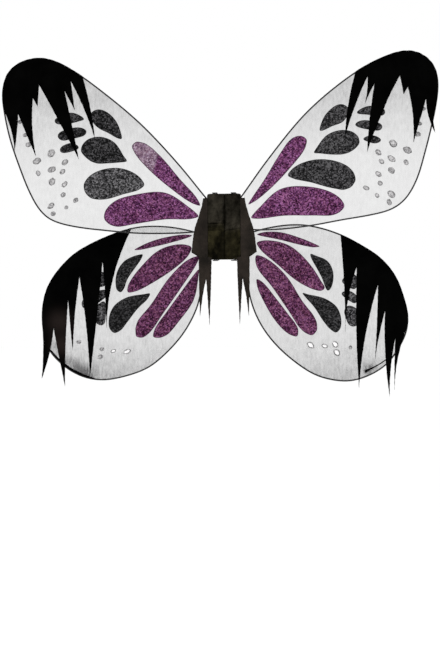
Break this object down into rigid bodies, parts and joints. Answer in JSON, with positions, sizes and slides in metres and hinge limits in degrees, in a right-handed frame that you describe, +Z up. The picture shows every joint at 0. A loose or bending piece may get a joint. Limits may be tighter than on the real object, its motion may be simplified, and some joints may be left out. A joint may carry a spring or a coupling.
{
  "type": "costume moth wings",
  "caption": "Costume moth wings worn on the back: see-through cloth on bent wire with glitter panels, ragged black strips, a sewn centre cover and elastic arm loops",
  "frame": {"origin": "middle of the cover's flat inner face, the face that lies against the wearer's back", "axes": "+X to the right seen from behind the wearer, +Y towards the wearer, +Z up"},
  "size_m": [0.8227, 0.2686, 0.651],
  "materials": {
    "wire": "thin dark coated wire",
    "sheer": "fine see-through weave",
    "purple_glitter": "fine purple glitter on cloth",
    "charcoal_glitter": "fine charcoal glitter on cloth",
    "black_cloth": "matte black cloth with cut edges",
    "cover_cloth": "matte black cloth, lightly stuffed",
    "elastic": "ribbed black elastic"
  },
  "bodies": {
    "root": {"forewing_left_wire": "wire", "forewing_left_sheer": "sheer", "forewing_left_purple_upper": "purple_glitter", "forewing_left_purple_lower": "purple_glitter", "forewing_left_charcoal_high": "charcoal_glitter", "forewing_left_charcoal_middle": "charcoal_glitter", "forewing_left_charcoal_low": "charcoal_glitter", "forewing_left_charcoal_tip_high": "charcoal_glitter", "forewing_left_charcoal_tip_middle": "charcoal_glitter", "forewing_left_charcoal_tip_low": "charcoal_glitter", "forewing_left_tatters": "black_cloth", "forewing_right_wire": "wire", "forewing_right_sheer": "sheer", "forewing_right_purple_upper": "purple_glitter", "forewing_right_purple_lower": "purple_glitter", "forewing_right_charcoal_high": "charcoal_glitter", "forewing_right_charcoal_middle": "charcoal_glitter", "forewing_right_charcoal_low": "charcoal_glitter", "forewing_right_charcoal_tip_high": "charcoal_glitter", "forewing_right_charcoal_tip_middle": "charcoal_glitter", "forewing_right_charcoal_tip_low": "charcoal_glitter", "forewing_right_tatters": "black_cloth", "hindwing_left_wire": "wire", "hindwing_left_sheer": "sheer", "hindwing_left_purple_top": "purple_glitter", "hindwing_left_purple_broad": "purple_glitter", "hindwing_left_purple_long": "purple_glitter", "hindwing_left_purple_inner": "purple_glitter", "hindwing_left_charcoal_upper": "charcoal_glitter", "hindwing_left_charcoal_lower": "charcoal_glitter", "hindwing_left_charcoal_side_high": "charcoal_glitter", "hindwing_left_charcoal_side_middle": "charcoal_glitter", "hindwing_left_charcoal_side_low": "charcoal_glitter", "hindwing_left_tatters": "black_cloth", "hindwing_right_wire": "wire", "hindwing_right_sheer": "sheer", "hindwing_right_purple_top": "purple_glitter", "hindwing_right_purple_broad": "purple_glitter", "hindwing_right_purple_long": "purple_glitter", "hindwing_right_purple_inner": "purple_glitter", "hindwing_right_charcoal_upper": "charcoal_glitter", "hindwing_right_charcoal_lower": "charcoal_glitter", "hindwing_right_charcoal_side_high": "charcoal_glitter", "hindwing_right_charcoal_side_middle": "charcoal_glitter", "hindwing_right_charcoal_side_low": "charcoal_glitter", "hindwing_right_tatters": "black_cloth", "centre_cover": "cover_cloth", "centre_tatters_left": "black_cloth", "arm_loop_left": "elastic", "centre_tatters_right": "black_cloth", "arm_loop_right": "elastic"}
  },
  "joints": []
}
